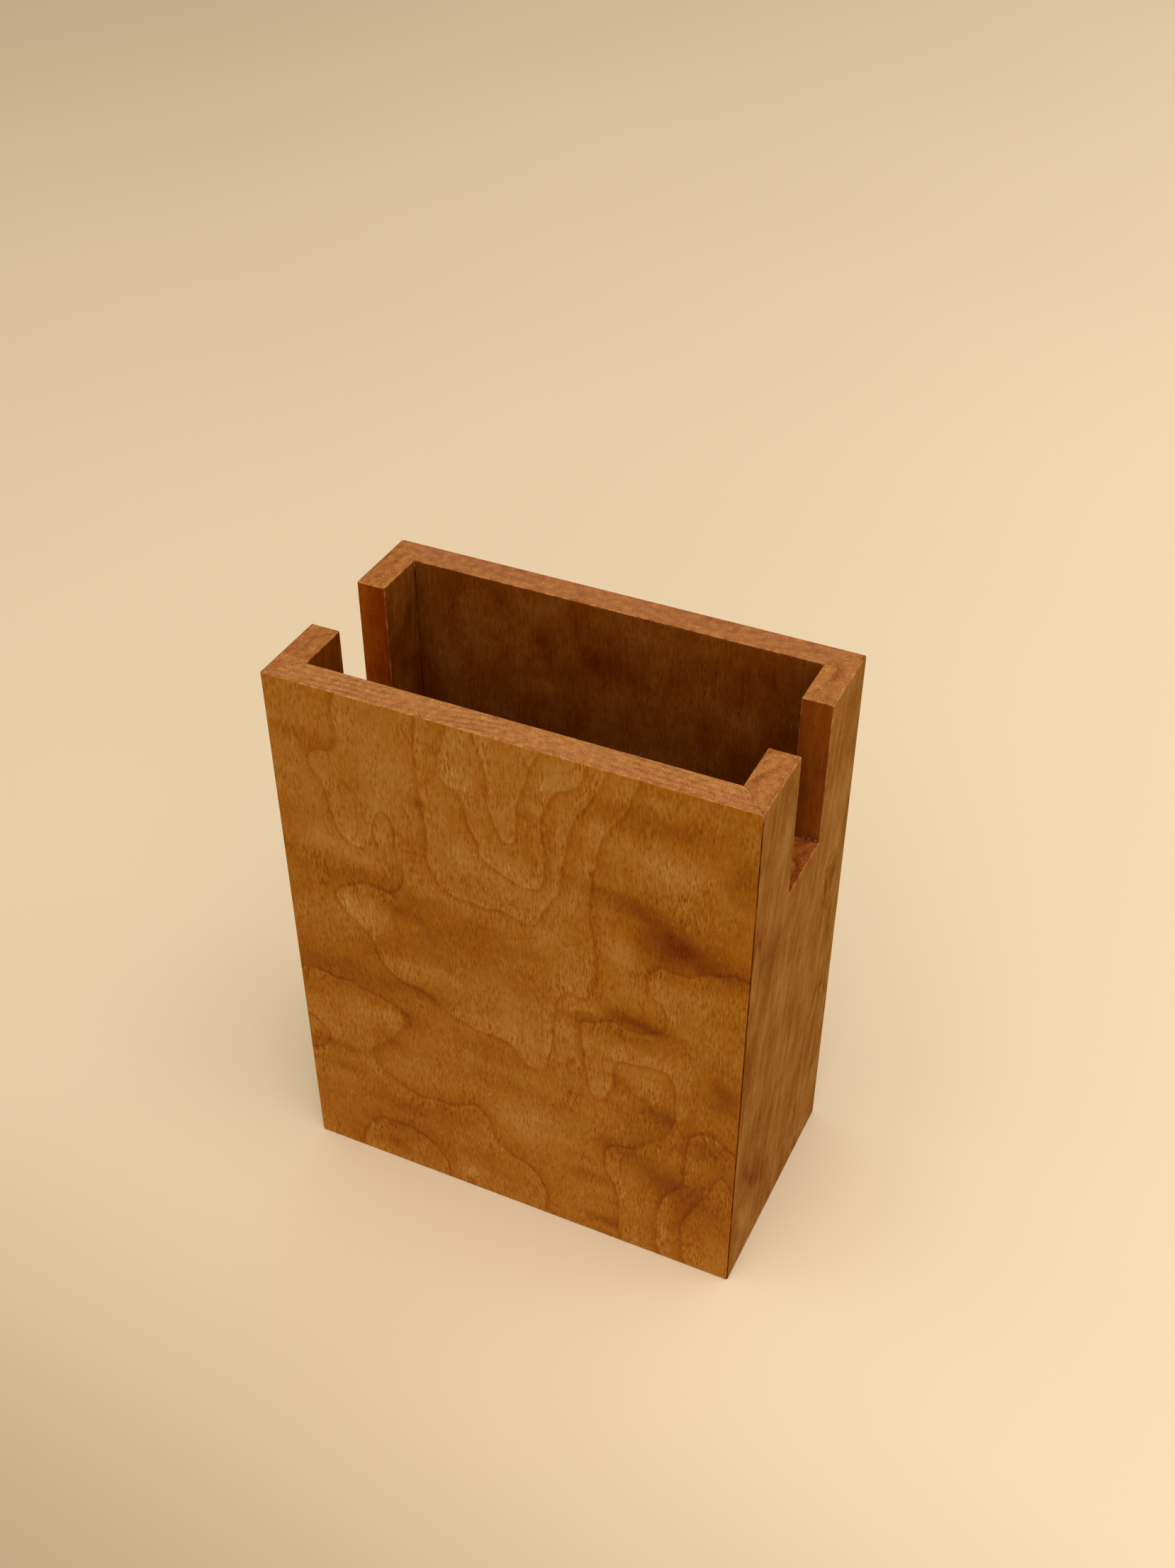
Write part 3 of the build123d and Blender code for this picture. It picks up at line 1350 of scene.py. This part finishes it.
@dataclass(frozen=True)
class WallRing:
    """The four walls of the box."""

    walls: tuple[Wall, ...] = (
        Wall(
            node="front_panel",
            finish=FiguredHardwood(
                name="front_board",
                side=Side.FRONT,
                growth=FRONT_GROWTH,
                tone=FRONT_TONE,
                rings=FRONT_RINGS,
                seed=1.0,
                blush=0.5,
                ring_depth=0.18,
                sawn_tone=0.42,
            ),
        ),
        Wall(
            node="right_panel",
            finish=FiguredHardwood(
                name="right_board",
                side=Side.RIGHT,
                growth=RIGHT_GROWTH,
                tone=RIGHT_TONE,
                rings=RIGHT_RINGS,
                seed=2.0,
                sheen=1.0,
                lean=8.0,
                blush=0.5,
                ring_depth=0.28,
                sawn_tone=0.38,
                gloss=0.0,
                face_colours=(
                    (0.0, (92, 42, 12)),
                    (0.25, (114, 64, 22)),
                    (0.5, (139, 91, 39)),
                    (0.62, (149, 102, 50)),
                    (0.78, (162, 114, 62)),
                    (1.0, (200, 154, 104)),
                ),
            ),
        ),
        Wall(
            node="back_panel",
            finish=FiguredHardwood(
                name="back_board",
                side=Side.BACK,
                growth=BACK_GROWTH,
                tone=BACK_TONE,
                rings=BACK_RINGS,
                seed=3.0,
                blush=0.9,
                ring_depth=0.1,
                sawn_tone=0.36,
            ),
        ),
        Wall(
            node="left_panel",
            finish=FiguredHardwood(
                name="left_board",
                side=Side.LEFT,
                growth=LEFT_GROWTH,
                tone=LEFT_TONE,
                rings=LEFT_RINGS,
                seed=4.0,
                sheen=0.6,
                lean=-8.0,
                blush=0.9,
                ring_depth=0.12,
                sawn_tone=0.37,
                gloss=0.0,
            ),
        ),
    )

    def build(self) -> list[bpy.types.Object]:
        """Dresses the four boards and returns them."""
        return [wall.dress() for wall in self.walls]


@dataclass(frozen=True)
class BottomBoard:
    """The board that closes the box below, held in the groove of the walls."""

    node: str = "bottom_panel"
    finish: PlainHardwood = PlainHardwood()

    def build(self) -> list[bpy.types.Object]:
        """Dresses the board and returns it."""
        return [dress_node(self.node, self.finish.build())]


@dataclass(frozen=True)
class GlueLines:
    """The glue in the four mitres."""

    nodes: tuple[str, ...] = (
        "glue_line_front_left",
        "glue_line_front_right",
        "glue_line_back_left",
        "glue_line_back_right",
    )
    finish: CuredGlue = CuredGlue()

    def build(self) -> list[bpy.types.Object]:
        """Dresses the glue lines with one material and returns them."""
        material = self.finish.build()
        return [dress_node(node, material) for node in self.nodes]


@dataclass(frozen=True)
class DriedDrops:
    """Drops of finish that dried in the right notch, where its floor meets its back cheek.

    Each drop has its place along that corner, its radius and its stretch along the corner. Its
    middle lies a share of its radius off the floor and the cheek, so it is partly sunk in both.
    """

    name: str = "dried_drops"
    drops: tuple[Place, ...] = ((46.9, 0.18, 2.0), (48.0, 0.24, 1.6), (49.3, 0.26, 1.5))
    off_corner: float = 0.6
    fineness: int = 3
    finish: DriedFinish = DriedFinish()

    def build(self) -> list[bpy.types.Object]:
        """Models the drops as one piece.

        Returns:
            The piece, alone in its list.
        """
        mesh = bpy.data.meshes.new(self.name)
        build = bmesh.new()
        for along, radius, stretch in self.drops:
            off = radius * self.off_corner
            middle = Vector((along, NOTCH_WIDTH / 2 - off, NOTCH_FLOOR + off)) * MM
            shape = Matrix.Translation(middle) @ Matrix.Diagonal((stretch, 1.0, 1.0, 1.0))
            bmesh.ops.create_icosphere(
                build, subdivisions=self.fineness, radius=radius * MM, matrix=shape
            )
        for face in build.faces:
            face.smooth = True
        build.to_mesh(mesh)
        build.free()
        mesh.materials.append(self.finish.build())
        piece = bpy.data.objects.new(self.name, mesh)
        bpy.context.scene.collection.objects.link(piece)
        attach(piece, "root")
        return [piece]


@dataclass(frozen=True)
class Softbox:
    """A square soft lamp that looks at the middle of the box. Metres and watts."""

    name: str
    place: Place
    size: float
    power: float

    def hang(self) -> None:
        """Hangs the lamp in its place."""
        light = bpy.data.lights.new(self.name, "AREA")
        light.size = self.size
        light.energy = self.power
        lamp = bpy.data.objects.new(self.name, light)
        lamp.location = self.place
        aim = Vector((0, 0, BOX_HEIGHT * MM / 2)) - Vector(self.place)
        lamp.rotation_euler = aim.to_track_quat("-Z", "Y").to_euler()
        bpy.context.scene.collection.objects.link(lamp)


@dataclass(frozen=True)
class Studio:
    """The pale table, the soft light and the camera. Metres and degrees."""

    table_size: float = 6.0
    table_finish: PaleTable = PaleTable()
    lamps: tuple[Softbox, ...] = (
        Softbox("ceiling_softbox", place=(0.3, -0.8, 1.42), size=2.2, power=21.5),
        Softbox("side_softbox", place=(1.0, 0.4, 0.9), size=1.2, power=4.0),
    )
    room_colour: Colour = (1.0, 0.98, 0.95, 1.0)
    room_strength: float = 0.71
    camera_place: Place = (0.12572, -0.25636, 0.3187)
    camera_azimuth: float = 25.28
    camera_elevation: float = 40.6
    lens: float = 41.88
    lift: float = 0.06

    def build(self) -> None:
        """Makes the table, the lamps, the world and the camera."""
        self.lay_table()
        for lamp in self.lamps:
            lamp.hang()
        self.fill_room()
        self.stand_camera()
        bpy.context.scene.view_settings.view_transform = "Standard"

    def lay_table(self) -> None:
        """Lays the table top, plain and pale."""
        mesh = bpy.data.meshes.new("table_top")
        build = bmesh.new()
        bmesh.ops.create_grid(build, x_segments=1, y_segments=1, size=self.table_size / 2)
        build.to_mesh(mesh)
        build.free()
        mesh.materials.append(self.table_finish.build())
        table = bpy.data.objects.new("table_top", mesh)
        bpy.context.scene.collection.objects.link(table)

    def fill_room(self) -> None:
        """Fills the room with soft light from all round."""
        world = bpy.data.worlds.new("soft_room")
        world.use_nodes = True
        background = world.node_tree.nodes["Background"]
        background.inputs["Color"].default_value = self.room_colour
        background.inputs["Strength"].default_value = self.room_strength
        bpy.context.scene.world = world

    def stand_camera(self) -> None:
        """Stands the camera where the photograph was taken from."""
        data = bpy.data.cameras.new("camera")
        data.lens = self.lens
        data.shift_y = self.lift
        camera = bpy.data.objects.new("camera", data)
        camera.location = self.camera_place
        camera.rotation_euler = (
            math.radians(90 - self.camera_elevation),
            0.0,
            math.radians(self.camera_azimuth),
        )
        bpy.context.scene.collection.objects.link(camera)
        bpy.context.scene.camera = camera


def main() -> None:
    """Dresses every sub-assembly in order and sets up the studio."""
    logging.basicConfig(level=logging.INFO, format="%(message)s")
    for assembly in (WallRing(), BottomBoard(), GlueLines(), DriedDrops()):
        for piece in assembly.build():
            LOG.info("%s: %s", type(assembly).__name__, piece.name)
    Studio().build()


if __name__ == "__main__":
    main()
